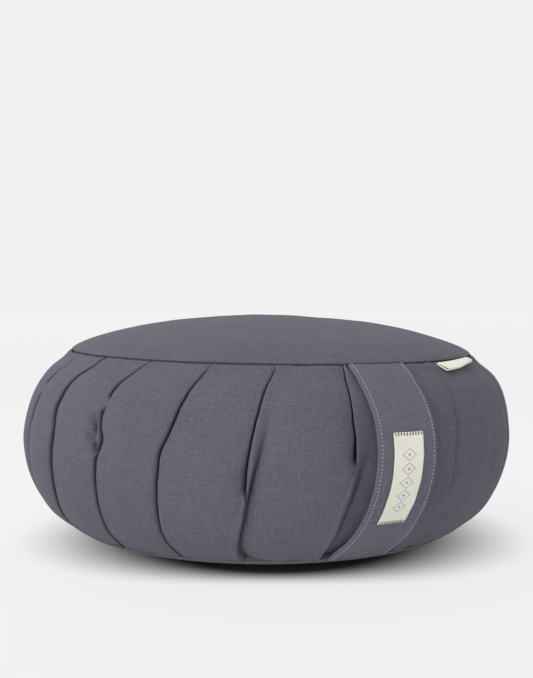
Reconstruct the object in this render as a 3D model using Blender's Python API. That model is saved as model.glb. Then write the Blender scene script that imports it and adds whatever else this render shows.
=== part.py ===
"""Round pleated meditation cushion (zafu).

A firmly filled body with a knife-pleated wall, closed by a round panel above and below. A flat carry strap
runs down the wall from seam to seam, with a woven label on it, and a small folded tab is caught in the top
seam beside the strap.

Metres, +Z up. The origin is on the resting surface under the middle of the cushion, and the strap faces -Y.
Azimuths are degrees round +Z: 0 is at the strap, and 90 is at -X. A wall position t runs down the wall: it is
0 at the top seam, 0.5 at the widest place and WALL_END at the bottom seam.
"""

import math

import bmesh
import bpy

# Filled body
WIDEST_RADIUS = 0.180
WIDEST_HEIGHT = 0.077
TOP_SEAM_RADIUS = 0.150
TOP_SEAM_HEIGHT = 0.139
UNDER_RADIUS = 0.138         # where the wall's lower curve would turn level, inside the bottom seam
UNDER_HEIGHT = 0.010
WALL_END = 0.93             # wall position of the bottom seam
UPPER_WALL_POWER = 1.15      # under 1 is boxy, 1 is an ellipse, over 1 is flatter
LOWER_WALL_POWER = 1.09
CROWN_RISE = 0.0255          # middle of the top panel above the top seam
CROWN_POWER = 0.74           # under 1 makes the panel swell up close to its seam
REST_RADIUS = 0.105          # flat spot under the cushion
BOTTOM_CURVE_POWER = 1.35

# The wall is less full than its even outline near its two seams: how far it falls back, where, and how
# far the drop spreads
SHOULDER_DROP = 0.0042
SHOULDER_PLACE = 0.12
SHOULDER_SPREAD = 0.10
FOOT_DROP = 0.0022
FOOT_PLACE = 0.86
FOOT_SPREAD = 0.09

# The filling has settled a little to one side, which tips and shifts the top panel
SETTLED_TOWARDS = -64.0
SETTLED_SHIFT = 0.0033
SETTLED_DROP = 0.0020

# Cloth
SHEET_THICKNESS = 0.0015
PIECE_GAP = 0.0003
FACET_ALLOWANCE = 0.00015    # how far a flat facet of a ring cuts inside its circle
SEAM_FOLD_DEPTH = 0.0012     # step of a pleat where it is sewn down
OPEN_FOLD_DEPTH = 0.0042     # step of a pleat at the middle of the wall
PANEL_SWELL = 0.0016         # how far the cloth between two pleats bulges
FOLD_VALLEY_SHARE = 0.45     # part of a pleat's width that dips under its neighbour
FADED_SHARE = 0.12           # what is left of the step where a pleat has opened out
FADE_LENGTH = 0.18
UNDERCUT_SHARE = 0.3         # how far a step lies back under its folded edge, beside its depth

# One row for each pleat that is placed by hand: the azimuth of its folded edge at wall positions 0, 0.25,
# 0.5, 0.75 and 1, the depth of its step beside a full one, and the wall position where it opens out and
# flattens.
PLEAT_COLUMNS = ("top", "upper", "middle", "lower", "base", "depth", "opens_at")
PLEAT_ROWS = (
    (-48.0, -46.5, -47.5, -46.5, -44.0, 0.80, 1.20),
    (-34.0, -32.5, -32.0, -31.0, -29.0, 0.50, 0.90),
    (-19.5, -18.8, -15.5, -12.5, -10.5, 0.50, 0.90),
    (-6.5, -5.5, -4.5, -3.5, -2.5, 0.60, 0.90),
    (8.8, 9.2, 8.7, 12.0, 14.0, 0.90, 0.42),
    (24.6, 27.7, 29.8, 31.0, 32.5, 1.00, 0.52),
    (40.3, 43.9, 47.5, 48.8, 46.2, 1.10, 1.20),
    (57.0, 62.4, 62.9, 64.5, 66.0, 1.10, 1.20),
    (73.2, 78.5, 78.1, 81.8, 88.5, 1.00, 1.20),
    (88.6, 92.6, 93.4, 97.0, 104.0, 1.00, 1.20),
)
BACK_PLEATS = 13             # evenly spaced round the rest of the wall
BACK_PLEAT_VARIATION = 1.3

# Mesh density
WALL_ROWS = 16
PLEAT_STEPS = (0.0, 0.15, 0.42, 0.75, 1.0)
CAP_STEPS = (0.04, 0.20, 0.45, 0.75, 0.96)
CROWN_STEPS = (1.0, 0.98, 0.90, 0.70, 0.40)
BASE_STEPS = (1.0, 0.60, 0.25, 0.0)
PANEL_SEGMENTS = 69

# Carry strap
STRAP_WIDTH = 0.042
STRAP_THICKNESS = 0.0024
STRAP_STAND_OFF = 0.0149     # at the middle of the wall
STRAP_STAND_POWER = 3.9
STRAP_STAND_EARLY = 0.9      # under 1 moves the middle of its bow up the wall
STRAP_SHOULDER_LIFT = 0.003  # it stays clear of the wall where the wall falls back below the top seam
STRAP_SHOULDER_PLACE = 0.125
STRAP_SHOULDER_SPREAD = 0.07
STRAP_START = 0.0004         # sideways place of its upper end
STRAP_LEAN = 0.008           # how far it leans towards -X over a whole wall position
STRAP_ROWS = 22
STRAP_STEPS_ACROSS = (-1.0, -0.5, 0.0, 0.5, 1.0)

# Woven label on the strap
LABEL_WIDTH = 0.0204
LABEL_LENGTH = 0.0622
LABEL_THICKNESS = 0.0010
LABEL_TOP_HEIGHT = 0.1004
LABEL_SHIFT = -0.0007        # sideways place of its upper end beside the strap's centre line
LABEL_SKEW = -0.0009         # how much further its lower end sits to the side
LABEL_ROWS = 9

# Folded tab in the top seam
TAB_AZIMUTH = -29.2
TAB_LENGTH = 0.043
TAB_REACH = 0.110            # wall position that its folded edge reaches
TAB_LAYER = 0.0010
TAB_SLOT = 0.0006
TAB_CURL = 0.0008
TAB_STEPS = 6

# Colours, linear
CANVAS_COLOUR = (0.118, 0.113, 0.148, 1.0)
STRAP_COLOUR = (0.122, 0.117, 0.152, 1.0)
CREAM_COLOUR = (0.80, 0.76, 0.66, 1.0)


def smooth_step(value):
    """Go from 0 to 1 without a kink as value goes from 0 to 1."""
    clamped = min(max(value, 0.0), 1.0)
    return clamped * clamped * (3.0 - 2.0 * clamped)


def settled(azimuth, radius, height):
    """Turn a cylindrical place into a point, with the upper half of the cushion tipped to one side."""
    angle = math.radians(azimuth)
    x = -radius * math.sin(angle)
    y = -radius * math.cos(angle)
    share = smooth_step((height - WIDEST_HEIGHT) / (TOP_SEAM_HEIGHT - WIDEST_HEIGHT))
    towards = math.radians(SETTLED_TOWARDS)
    towards_x = -math.sin(towards)
    towards_y = -math.cos(towards)
    side = (x * towards_x + y * towards_y) / TOP_SEAM_RADIUS
    return (
        x + SETTLED_SHIFT * share * towards_x,
        y + SETTLED_SHIFT * share * towards_y,
        height - SETTLED_DROP * share * side,
    )


def wall_outline(t):
    """Give the radius and height of the smooth wall at wall position t."""
    if t <= 0.5:
        turn = math.pi * max(t, 0.0)
        out = math.sin(turn) ** UPPER_WALL_POWER
        up = max(math.cos(turn), 0.0) ** UPPER_WALL_POWER
        return (
            TOP_SEAM_RADIUS + (WIDEST_RADIUS - TOP_SEAM_RADIUS) * out,
            WIDEST_HEIGHT + (TOP_SEAM_HEIGHT - WIDEST_HEIGHT) * up,
        )
    turn = math.pi * (min(t, 1.0) - 0.5)
    out = max(math.cos(turn), 0.0) ** LOWER_WALL_POWER
    down = math.sin(turn) ** LOWER_WALL_POWER
    return (
        UNDER_RADIUS + (WIDEST_RADIUS - UNDER_RADIUS) * out,
        WIDEST_HEIGHT - (WIDEST_HEIGHT - UNDER_HEIGHT) * down,
    )


def slackness(t):
    """How far the wall falls back from its even outline, near its two seams."""
    shoulder = SHOULDER_DROP * math.exp(-(((t - SHOULDER_PLACE) / SHOULDER_SPREAD) ** 2))
    foot = FOOT_DROP * math.exp(-(((t - FOOT_PLACE) / FOOT_SPREAD) ** 2))
    return shoulder + foot


def wall_place(t, lift):
    """Give the radius and height of a point that stands lift above the smooth wall."""
    step = 0.002
    lift = lift - slackness(t)
    radius, height = wall_outline(t)
    radius_before, height_before = wall_outline(max(t - step, 0.0))
    radius_after, height_after = wall_outline(min(t + step, 1.0))
    along_radius = radius_after - radius_before
    along_height = height_after - height_before
    length = math.hypot(along_radius, along_height)
    return radius - lift * along_height / length, height + lift * along_radius / length


BOTTOM_SEAM_RADIUS, BOTTOM_SEAM_HEIGHT = wall_place(WALL_END, 0.0)


def bulge(t):
    """0 at the two seams and 1 halfway between them."""
    return max(math.sin(math.pi * t / WALL_END), 0.0)


def wall_swell(t):
    """How far the cloth between two pleats bulges at wall position t."""
    return PANEL_SWELL * bulge(t)


def along(values, share):
    """Value at a share of the way through evenly spaced values, without kinks."""
    spans = len(values) - 1
    place = min(max(share, 0.0), 1.0) * spans
    index = min(int(place), spans - 1)
    part = place - index
    first = values[index]
    second = values[index + 1]
    before = values[index - 1] if index > 0 else 2.0 * first - second
    after = values[index + 2] if index + 2 <= spans else 2.0 * second - first
    slope_in = (second - before) / 2.0
    slope_out = (after - first) / 2.0
    rest = second - first
    bend = 3.0 * rest - 2.0 * slope_in - slope_out
    return first + part * (slope_in + part * (bend + part * (slope_in + slope_out - 2.0 * rest)))


def pleat_table():
    """List every pleat in order of azimuth: those placed by hand, then those spread round the back."""
    pleats = [dict(zip(PLEAT_COLUMNS, row)) for row in PLEAT_ROWS]
    for pleat in pleats:
        pleat["path"] = [pleat[name] for name in PLEAT_COLUMNS[:5]]
    first = pleats[0]["path"]
    last = pleats[-1]["path"]
    for number in range(1, BACK_PLEATS + 1):
        share = number / (BACK_PLEATS + 1)
        variation = BACK_PLEAT_VARIATION * math.sin(2.4 * number)
        path = [low + (high + 360.0 - low) * share + variation for low, high in zip(last, first)]
        path[2] -= variation
        pleats.append({"path": path, "depth": 1.0, "opens_at": 1.2})
    return pleats


def fold_azimuth(pleat, t):
    """Azimuth of a pleat's folded edge at wall position t."""
    return along(pleat["path"], t)


def fold_depth(pleat, t):
    """Depth of the step under a pleat's folded edge at wall position t."""
    opened = bulge(t) ** 0.7
    depth = SEAM_FOLD_DEPTH + (OPEN_FOLD_DEPTH - SEAM_FOLD_DEPTH) * opened * pleat["depth"]
    faded = smooth_step((t - pleat["opens_at"]) / FADE_LENGTH)
    return depth * (1.0 - (1.0 - FADED_SHARE) * faded)


def fold_undercut(depth, t):
    """Degrees that the bottom of a step lies back under the folded edge; none at the two seams."""
    return math.degrees(UNDERCUT_SHARE * depth / WIDEST_RADIUS) * bulge(t)


def pleated_ring(pleats, t):
    """One level line of the pleated wall, as azimuth and lift pairs."""
    ring = []
    for pleat, following in zip(pleats, pleats[1:] + pleats[:1]):
        start = fold_azimuth(pleat, t)
        width = (fold_azimuth(following, t) - start) % 360.0
        depth = fold_depth(pleat, t)
        for step in PLEAT_STEPS:
            valley = max(1.0 - step / FOLD_VALLEY_SHARE, 0.0) ** 2
            lift = wall_swell(t) * math.sin(math.pi * step) - depth * valley
            tucked = fold_undercut(depth, t) if step == 0.0 else 0.0
            ring.append((start + width * step - tucked, lift))
    return ring


def cap_azimuths(pleats, t):
    """Azimuths for the rings under a panel, in step with the pleats of the nearest seam."""
    azimuths = []
    for pleat, following in zip(pleats, pleats[1:] + pleats[:1]):
        start = fold_azimuth(pleat, t)
        width = (fold_azimuth(following, t) - start) % 360.0
        azimuths += [start + width * step for step in CAP_STEPS]
    return azimuths


def crown_outline():
    """Rim-to-middle outline of the top panel's upper face."""
    rim = TOP_SEAM_RADIUS - 2.0 * PIECE_GAP
    return [
        (rim * share, TOP_SEAM_HEIGHT + PIECE_GAP + CROWN_RISE * (1.0 - share * share) ** CROWN_POWER)
        for share in CROWN_STEPS
    ]


def base_outline():
    """Rim-to-flat outline of the bottom panel's lower face."""
    rim = BOTTOM_SEAM_RADIUS - 2.0 * PIECE_GAP
    return [
        (REST_RADIUS + (rim - REST_RADIUS) * share,
         (BOTTOM_SEAM_HEIGHT - PIECE_GAP) * share ** BOTTOM_CURVE_POWER)
        for share in BASE_STEPS
    ]


def inset_outline(outline, distance, side):
    """Move an outline inwards by distance; side is -1 under a crown and 1 above a base."""
    moved = [(outline[0][0] - distance, outline[0][1])]
    for before, point, after in zip(outline, outline[1:], outline[2:] + [(0.0, outline[-1][1])]):
        along_radius = before[0] - after[0]
        along_height = before[1] - after[1]
        length = math.hypot(along_radius, along_height)
        radius = point[0] + distance * side * -along_height / length
        moved.append((radius, point[1] + distance * side * along_radius / length))
    return moved


def material(name, colour, roughness):
    """Make a plain cloth material."""
    made = bpy.data.materials.new(name)
    made.use_nodes = True
    shader = made.node_tree.nodes["Principled BSDF"]
    shader.inputs["Base Color"].default_value = colour
    shader.inputs["Roughness"].default_value = roughness
    shader.inputs["Metallic"].default_value = 0.0
    return made


def add_object(name, mesh_builder, colour, roughness):
    """Turn a finished bmesh into a named object with its own material."""
    bmesh.ops.recalc_face_normals(mesh_builder, faces=mesh_builder.faces)
    mesh = bpy.data.meshes.new(name)
    mesh_builder.to_mesh(mesh)
    mesh_builder.free()
    mesh.materials.append(material(name, colour, roughness))
    mesh.shade_smooth()
    mesh.set_sharp_from_angle(angle=math.radians(40.0))
    made = bpy.data.objects.new(name, mesh)
    bpy.context.collection.objects.link(made)
    return made


def add_ring(builder, points):
    """Add one closed line of vertices."""
    return [builder.verts.new(point) for point in points]


def join_rings(builder, upper, lower):
    """Fill the band between two rings of the same count."""
    count = len(upper)
    for number in range(count):
        following = (number + 1) % count
        builder.faces.new((upper[number], lower[number], lower[following], upper[following]))


def cap_ring(builder, ring, middle):
    """Close a ring with a fan round a middle point."""
    centre = builder.verts.new(middle)
    count = len(ring)
    for number in range(count):
        builder.faces.new((ring[number], ring[(number + 1) % count], centre))


def turned_rings(builder, outline, azimuths):
    """Turn an outline of radius and height pairs round the cushion's axis."""
    rings = []
    for radius, height in outline:
        rings.append(add_ring(builder, [settled(azimuth, radius, height) for azimuth in azimuths]))
    return rings


def loft(builder, rings):
    """Join a row of rings one to the next."""
    for upper, lower in zip(rings, rings[1:]):
        join_rings(builder, upper, lower)


def make_pleated_wall():
    """The filled body: pleated wall, crowned top and flattened base under the two panels."""
    builder = bmesh.new()
    pleats = pleat_table()
    wall_rings = []
    for row in range(WALL_ROWS + 1):
        t = WALL_END * row / WALL_ROWS
        points = []
        for azimuth, lift in pleated_ring(pleats, t):
            radius, height = wall_place(t, lift)
            points.append(settled(azimuth, radius, height))
        wall_rings.append(add_ring(builder, points))
    under_panel = SHEET_THICKNESS + PIECE_GAP + FACET_ALLOWANCE
    crown = inset_outline(crown_outline(), under_panel, -1.0)
    crown[0] = (crown[0][0], TOP_SEAM_HEIGHT)
    base = inset_outline(base_outline(), under_panel, 1.0)
    base[0] = (base[0][0], BOTTOM_SEAM_HEIGHT)
    crown_rings = turned_rings(builder, reversed(crown), cap_azimuths(pleats, 0.0))
    base_rings = turned_rings(builder, base, cap_azimuths(pleats, WALL_END))
    loft(builder, crown_rings + wall_rings + base_rings)
    crown_top = TOP_SEAM_HEIGHT + PIECE_GAP + CROWN_RISE - under_panel
    cap_ring(builder, crown_rings[0], settled(0.0, 0.0, crown_top))
    cap_ring(builder, base_rings[-1], settled(0.0, 0.0, under_panel))
    return add_object("pleated_wall", builder, CANVAS_COLOUR, 0.92)


def make_panel(name, outline, side, middle_height):
    """A round crowned sheet from its outer face's outline."""
    builder = bmesh.new()
    azimuths = [360.0 * number / PANEL_SEGMENTS for number in range(PANEL_SEGMENTS)]
    outer = turned_rings(builder, reversed(outline), azimuths)
    inner = turned_rings(builder, inset_outline(outline, SHEET_THICKNESS, side), azimuths)
    loft(builder, outer + inner)
    cap_ring(builder, outer[0], settled(0.0, 0.0, middle_height))
    cap_ring(builder, inner[-1], settled(0.0, 0.0, middle_height + side * SHEET_THICKNESS))
    return add_object(name, builder, CANVAS_COLOUR, 0.92)


def make_top_panel():
    """The round top panel, which swells up from its seam."""
    return make_panel("top_panel", crown_outline(), -1.0, TOP_SEAM_HEIGHT + PIECE_GAP + CROWN_RISE)


def make_bottom_panel():
    """The round bottom panel, flat where the cushion rests."""
    return make_panel("bottom_panel", base_outline(), 1.0, 0.0)


def strap_lift(t):
    """How far the strap's inner face stands off the smooth wall at wall position t."""
    bend = max(math.sin(math.pi * t ** STRAP_STAND_EARLY), 0.0)
    resting = PIECE_GAP + FACET_ALLOWANCE + wall_swell(t)
    shoulder = STRAP_SHOULDER_LIFT * math.exp(-(((t - STRAP_SHOULDER_PLACE) / STRAP_SHOULDER_SPREAD) ** 2))
    return resting + shoulder + STRAP_STAND_OFF * bend ** STRAP_STAND_POWER


def strap_point(t, across, lift):
    """A point on the strap's path, across metres from its centre line and lift off the wall."""
    radius, height = wall_place(t, lift)
    x = across + STRAP_START - STRAP_LEAN * t
    return settled(math.degrees(-math.asin(x / radius)), radius, height)


def make_carry_strap():
    """The flat strap, sewn in at both seams and standing off the wall between them."""
    builder = bmesh.new()
    rings = []
    for row in range(STRAP_ROWS + 1):
        t = WALL_END * row / STRAP_ROWS
        inner = strap_lift(t)
        outer = inner + STRAP_THICKNESS
        half = STRAP_WIDTH / 2.0
        points = [strap_point(t, step * half, outer) for step in STRAP_STEPS_ACROSS]
        points += [strap_point(t, step * half, inner) for step in reversed(STRAP_STEPS_ACROSS)]
        rings.append(add_ring(builder, points))
    loft(builder, rings)
    builder.faces.new(rings[0])
    builder.faces.new(rings[-1])
    return add_object("carry_strap", builder, STRAP_COLOUR, 0.92)


def strap_position(height):
    """Wall position where the strap's outer face is at a given height."""
    above = 0.0
    below = WALL_END
    for _ in range(40):
        middle = (above + below) / 2.0
        if wall_place(middle, strap_lift(middle) + STRAP_THICKNESS)[1] > height:
            above = middle
        else:
            below = middle
    return above


def label_end(start):
    """Wall position one label length further down the strap than start."""
    travelled = 0.0
    t = start
    step = 0.0005
    place = wall_place(t, strap_lift(t) + STRAP_THICKNESS)
    while travelled < LABEL_LENGTH:
        t += step
        following = wall_place(t, strap_lift(t) + STRAP_THICKNESS)
        travelled += math.dist(place, following)
        place = following
    return t


def make_strap_label():
    """The woven label lying on the strap's outer face."""
    builder = bmesh.new()
    start = strap_position(LABEL_TOP_HEIGHT)
    end = label_end(start)
    rings = []
    for row in range(LABEL_ROWS + 1):
        share = row / LABEL_ROWS
        t = start + (end - start) * share
        inner = strap_lift(t) + STRAP_THICKNESS + PIECE_GAP + FACET_ALLOWANCE
        outer = inner + LABEL_THICKNESS
        half = LABEL_WIDTH / 2.0
        skew = LABEL_SHIFT + LABEL_SKEW * share
        points = [strap_point(t, step * half + skew, outer) for step in (-1.0, 0.0, 1.0)]
        points += [strap_point(t, step * half + skew, inner) for step in (1.0, 0.0, -1.0)]
        rings.append(add_ring(builder, points))
    loft(builder, rings)
    builder.faces.new(rings[0])
    builder.faces.new(rings[-1])
    return add_object("strap_label", builder, CREAM_COLOUR, 0.85)


def tab_section():
    """Outline of the folded tab, as wall position and lift pairs: two layers joined at the fold."""
    thickness = 2.0 * TAB_LAYER + TAB_SLOT
    fold_start = 0.85 * TAB_REACH
    seam_end = 0.02 * TAB_REACH

    def curled(t, lift):
        resting = PIECE_GAP + FACET_ALLOWANCE + wall_swell(t)
        return t, resting + lift + TAB_CURL * (t / TAB_REACH) ** 2

    return [
        curled(seam_end, 0.0),
        curled(0.5 * TAB_REACH, 0.0),
        curled(fold_start, 0.0),
        curled(0.96 * TAB_REACH, 0.2 * thickness),
        curled(TAB_REACH, 0.5 * thickness),
        curled(0.96 * TAB_REACH, 0.8 * thickness),
        curled(fold_start, thickness),
        curled(0.5 * TAB_REACH, thickness),
        curled(seam_end, thickness),
        curled(seam_end, thickness - TAB_LAYER),
        curled(0.5 * TAB_REACH, thickness - TAB_LAYER),
        curled(fold_start, thickness - TAB_LAYER),
        curled(fold_start, TAB_LAYER),
        curled(0.5 * TAB_REACH, TAB_LAYER),
        curled(seam_end, TAB_LAYER),
    ]


def make_seam_tab():
    """The small folded tab caught in the top seam."""
    builder = bmesh.new()
    half_angle = math.degrees(TAB_LENGTH / 2.0 / TOP_SEAM_RADIUS)
    section = tab_section()
    rings = []
    for step in range(TAB_STEPS + 1):
        azimuth = TAB_AZIMUTH + half_angle * (2.0 * step / TAB_STEPS - 1.0)
        points = [settled(azimuth, *wall_place(t, lift)) for t, lift in section]
        rings.append(add_ring(builder, points))
    loft(builder, rings)
    builder.faces.new(rings[0])
    builder.faces.new(rings[-1])
    return add_object("seam_tab", builder, CREAM_COLOUR, 0.85)


def main():
    """Build the cushion."""
    for existing in list(bpy.data.objects):
        bpy.data.objects.remove(existing, do_unlink=True)
    make_pleated_wall()
    make_top_panel()
    make_bottom_panel()
    make_carry_strap()
    make_strap_label()
    make_seam_tab()


main()
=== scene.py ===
"""Looks for the round pleated meditation cushion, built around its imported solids.

Metres, +Z up. The carry strap faces -Y. Azimuths are degrees round +Z: 0 is at the strap, and 90 is at -X.
A wall position t runs down the pleated wall: it is 0 at the top seam, 0.5 at the widest place and WALL_END
at the bottom seam. A lift is a distance off the smooth wall, outwards.
"""

import bisect
import math

import bmesh
import bpy
from bpy.props import FloatProperty, FloatVectorProperty, IntProperty, PointerProperty
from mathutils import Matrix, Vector, noise


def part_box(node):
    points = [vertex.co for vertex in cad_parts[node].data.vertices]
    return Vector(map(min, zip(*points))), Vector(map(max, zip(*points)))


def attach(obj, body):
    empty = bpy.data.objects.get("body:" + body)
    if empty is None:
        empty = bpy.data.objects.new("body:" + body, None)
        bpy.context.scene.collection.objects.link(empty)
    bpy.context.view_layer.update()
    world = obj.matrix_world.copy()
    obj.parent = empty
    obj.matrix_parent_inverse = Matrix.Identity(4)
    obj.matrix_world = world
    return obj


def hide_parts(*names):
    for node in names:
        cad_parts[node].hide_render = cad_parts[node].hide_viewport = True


bl_info = {
    "name": "Pleated Zafu Cushion",
    "version": (1, 0, 0),
    "blender": (4, 5, 0),
    "location": "View3D > Sidebar > Zafu",
    "description": "Builds a round pleated meditation cushion with its strap, label and tab",
    "category": "Add Mesh",
}

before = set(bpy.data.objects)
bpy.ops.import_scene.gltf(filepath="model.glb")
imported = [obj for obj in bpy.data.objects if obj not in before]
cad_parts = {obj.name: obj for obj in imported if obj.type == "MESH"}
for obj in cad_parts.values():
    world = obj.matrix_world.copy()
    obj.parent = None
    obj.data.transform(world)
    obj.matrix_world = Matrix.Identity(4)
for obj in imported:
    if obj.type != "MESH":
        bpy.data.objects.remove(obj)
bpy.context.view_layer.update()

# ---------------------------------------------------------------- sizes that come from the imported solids
GAP = 0.0003
TOP_LOW, TOP_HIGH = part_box("top_panel")
TOP_SEAM_RADIUS = (TOP_HIGH[0] - TOP_LOW[0]) / 2.0 + 2.0 * GAP
CROWN_TOP = TOP_HIGH[2]

# ---------------------------------------------------------------- form of the filled body
WIDEST_RADIUS = 0.180
WIDEST_HEIGHT = 0.077
TOP_SEAM_HEIGHT = 0.139
UNDER_RADIUS = 0.138
UNDER_HEIGHT = 0.010
WALL_END = 0.93
UPPER_WALL_POWER = 1.15
LOWER_WALL_POWER = 1.09
CROWN_POWER = 0.74
REST_RADIUS = 0.090
TURN_RADIUS = 0.140
TURN_HEIGHT = 0.0095
BOTTOM_CURVE_POWER = 1.38
SETTLED_TOWARDS = math.radians(-64.0)
SETTLED_SHIFT = 0.0033
SETTLED_DROP = 0.0020

# The wall is less full than its even outline near its two seams.
SHOULDER_DROP = 0.0042
SHOULDER_PLACE = 0.12
SHOULDER_SPREAD = 0.10
FOOT_DROP = 0.0022
FOOT_PLACE = 0.86
FOOT_SPREAD = 0.09

# One row for each pleat that is listed one by one: the azimuths of its folded edge at the top seam, a
# quarter, half and three quarters of the way down and at the bottom seam; the height of its step beside a
# full one;
# how wide the gap beside its edge is; how far out the gap is dark; and the events on its way down.
PLEAT_COLUMNS = ("path", "depth", "reach", "dark")
# The dark column is how far out from a folded edge shade is painted into the canvas colour, for the gap's
# shadow.
PLEAT_ROWS = (
    ((-48.0, -46.5, -47.5, -46.5, -44.0), 0.80, 1.0, 0.0013, {}),
    ((-34.0, -32.5, -32.0, -31.0, -29.0), 0.20, 0.5, 0.0002, {"opens_at": 0.02}),
    ((-19.5, -18.8, -15.5, -9.5, -7.0), 0.20, 0.5, 0.0002, {"opens_at": 0.02}),
    ((-6.5, -5.5, -4.5, -3.5, -2.5), 0.60, 0.8, 0.0010, {"opens_at": 0.50}),
    ((8.8, 9.2, 8.7, 12.0, 14.0), 0.95, 0.65, 0.0012, {"opens_at": 0.48, "gapes_at": 0.46}),
    ((24.6, 27.7, 29.8, 31.0, 32.5), 1.05, 1.00, 0.0021, {"opens_at": 0.595, "gapes_at": 0.53}),
    ((40.3, 43.9, 47.5, 48.8, 46.2), 1.00, 1.2, 0.0032, {"kink_at": 0.44, "kink": 0.5}),
    ((57.0, 62.4, 62.9, 64.5, 66.0), 0.85, 1.5, 0.0042,
     {"broken_at": 0.29, "gapes_at": 0.36, "kink_at": 0.42, "kink": -1.5}),
    ((73.2, 78.5, 78.1, 81.8, 88.5), 0.80, 1.9, 0.0060, {"gapes_at": 0.39, "kink_at": 0.34, "kink": 0.8}),
    ((88.6, 92.6, 93.4, 97.0, 104.0), 0.80, 1.9, 0.0050, {"broken_at": 0.28, "gapes_at": 0.45}),
)
# The wall positions where a pleat opens out, where its fold is interrupted, where it gapes and where it has
# a kink, and the kink's size in degrees. NOWHERE is off the wall, for a pleat without the event.
NOWHERE = 9.0
NO_EVENTS = {
    "opens_at": NOWHERE, "broken_at": NOWHERE, "gapes_at": NOWHERE, "kink_at": NOWHERE, "kink": 0.0}
BACK_PLEATS = 13
BACK_PLEAT_VARIATION = 1.3

# One row for each crease between the pleats: its azimuths at five even steps from its upper to its lower
# end, the wall positions of those ends, its depth, and its width to its left and to its right. The cloth
# to its left stands proud where the ridge says so, and the shade says how dark the crease's painted shade
# is.
CREASE_COLUMNS = ("path", "start", "end", "depth", "left", "right", "ridge", "shade")
CREASE_ROWS = (
    ((25.6, 27.8, 30.5, 32.6, 29.8), 0.25, 1.03, 0.0044, 0.0010, 0.0066, 0.0012, 0.90),
    ((4.4, 6.7, 9.9, 11.5, 12.0), 0.31, 1.05, 0.0040, 0.0026, 0.0240, 0.0008, 0.05),
    ((65.0, 64.9, 64.5, 64.0, 63.6), 0.32, 0.48, 0.0045, 0.0014, 0.0014, 0.0, 0.90),
    ((-19.3, -18.3, -16.4, -14.9, -11.5), 0.06, 0.98, 0.0034, 0.0024, 0.0095, 0.0010, 0.20),
    ((-16.2, -15.8, -15.6, -15.5, -15.4), 0.57, 0.74, 0.0035, 0.0012, 0.0030, 0.0, 0.50),
)
# Creases that the columns of the wall's mesh follow, by the number of the pleat to their left.
FOLLOWED_CREASES = {5: 0, 4: 1}


def smooth_step(value):
    """Go from 0 to 1 without a kink as value goes from 0 to 1."""
    clamped = min(max(value, 0.0), 1.0)
    return clamped * clamped * (3.0 - 2.0 * clamped)


def bell(distance, width):
    """1 at no distance, falling smoothly to 0 past the width."""
    return math.exp(-((distance / width) ** 2))


def wave(x, y, z):
    """Smooth unevenness from -1 to 1 at a place."""
    return noise.noise(Vector((x, y, z)))


def settled(azimuth, radius, height):
    """Turn a cylindrical place into a point, with the upper half of the cushion tipped to one side."""
    angle = math.radians(azimuth)
    x = -radius * math.sin(angle)
    y = -radius * math.cos(angle)
    share = smooth_step((height - WIDEST_HEIGHT) / (TOP_SEAM_HEIGHT - WIDEST_HEIGHT))
    towards_x = -math.sin(SETTLED_TOWARDS)
    towards_y = -math.cos(SETTLED_TOWARDS)
    side = (x * towards_x + y * towards_y) / TOP_SEAM_RADIUS
    return Vector((
        x + SETTLED_SHIFT * share * towards_x,
        y + SETTLED_SHIFT * share * towards_y,
        height - SETTLED_DROP * share * side,
    ))


def wall_outline(t):
    """Give the radius and height of the smooth wall at wall position t."""
    if t <= 0.5:
        turn = math.pi * max(t, 0.0)
        out = math.sin(turn) ** UPPER_WALL_POWER
        up = max(math.cos(turn), 0.0) ** UPPER_WALL_POWER
        return (
            TOP_SEAM_RADIUS + (WIDEST_RADIUS - TOP_SEAM_RADIUS) * out,
            WIDEST_HEIGHT + (TOP_SEAM_HEIGHT - WIDEST_HEIGHT) * up,
        )
    turn = math.pi * (min(t, 1.0) - 0.5)
    out = max(math.cos(turn), 0.0) ** LOWER_WALL_POWER
    down = math.sin(turn) ** LOWER_WALL_POWER
    return (
        UNDER_RADIUS + (WIDEST_RADIUS - UNDER_RADIUS) * out,
        WIDEST_HEIGHT - (WIDEST_HEIGHT - UNDER_HEIGHT) * down,
    )


def slackness(t):
    """How far the wall falls back from its even outline, near its two seams."""
    shoulder = SHOULDER_DROP * bell(t - SHOULDER_PLACE, SHOULDER_SPREAD)
    return shoulder + FOOT_DROP * bell(t - FOOT_PLACE, FOOT_SPREAD)


def wall_place(t, lift):
    """Give the radius and height of a point that stands lift above the smooth wall."""
    step = 0.002
    lift = lift - slackness(t)
    radius, height = wall_outline(t)
    radius_before, height_before = wall_outline(max(t - step, 0.0))
    radius_after, height_after = wall_outline(min(t + step, 1.0))
    along_radius = radius_after - radius_before
    along_height = height_after - height_before
    length = math.hypot(along_radius, along_height)
    return radius - lift * along_height / length, height + lift * along_radius / length


BOTTOM_SEAM_RADIUS, BOTTOM_SEAM_HEIGHT = wall_place(WALL_END, 0.0)


def bulge(t):
    """0 at the two seams and 1 halfway between them."""
    return max(math.sin(math.pi * t / WALL_END), 0.0)


def path_lengths(place, samples):
    """Distance from the top seam down a path, at evenly spaced wall positions; place gives its points."""
    places = [place(WALL_END * number / samples) for number in range(samples + 1)]
    lengths = [0.0]
    for before, after in zip(places, places[1:]):
        lengths.append(lengths[-1] + math.dist(before, after))
    return lengths


def path_position(lengths, distance):
    """Wall position at a distance from the top seam down a path."""
    samples = len(lengths) - 1
    index = bisect.bisect_left(lengths, distance, 1, samples) - 1
    span = lengths[index + 1] - lengths[index]
    return WALL_END * (index + (distance - lengths[index]) / span) / samples


WALL_SAMPLES = 400
WALL_LENGTHS = path_lengths(wall_outline, WALL_SAMPLES)
WALL_LENGTH = WALL_LENGTHS[-1]


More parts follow.
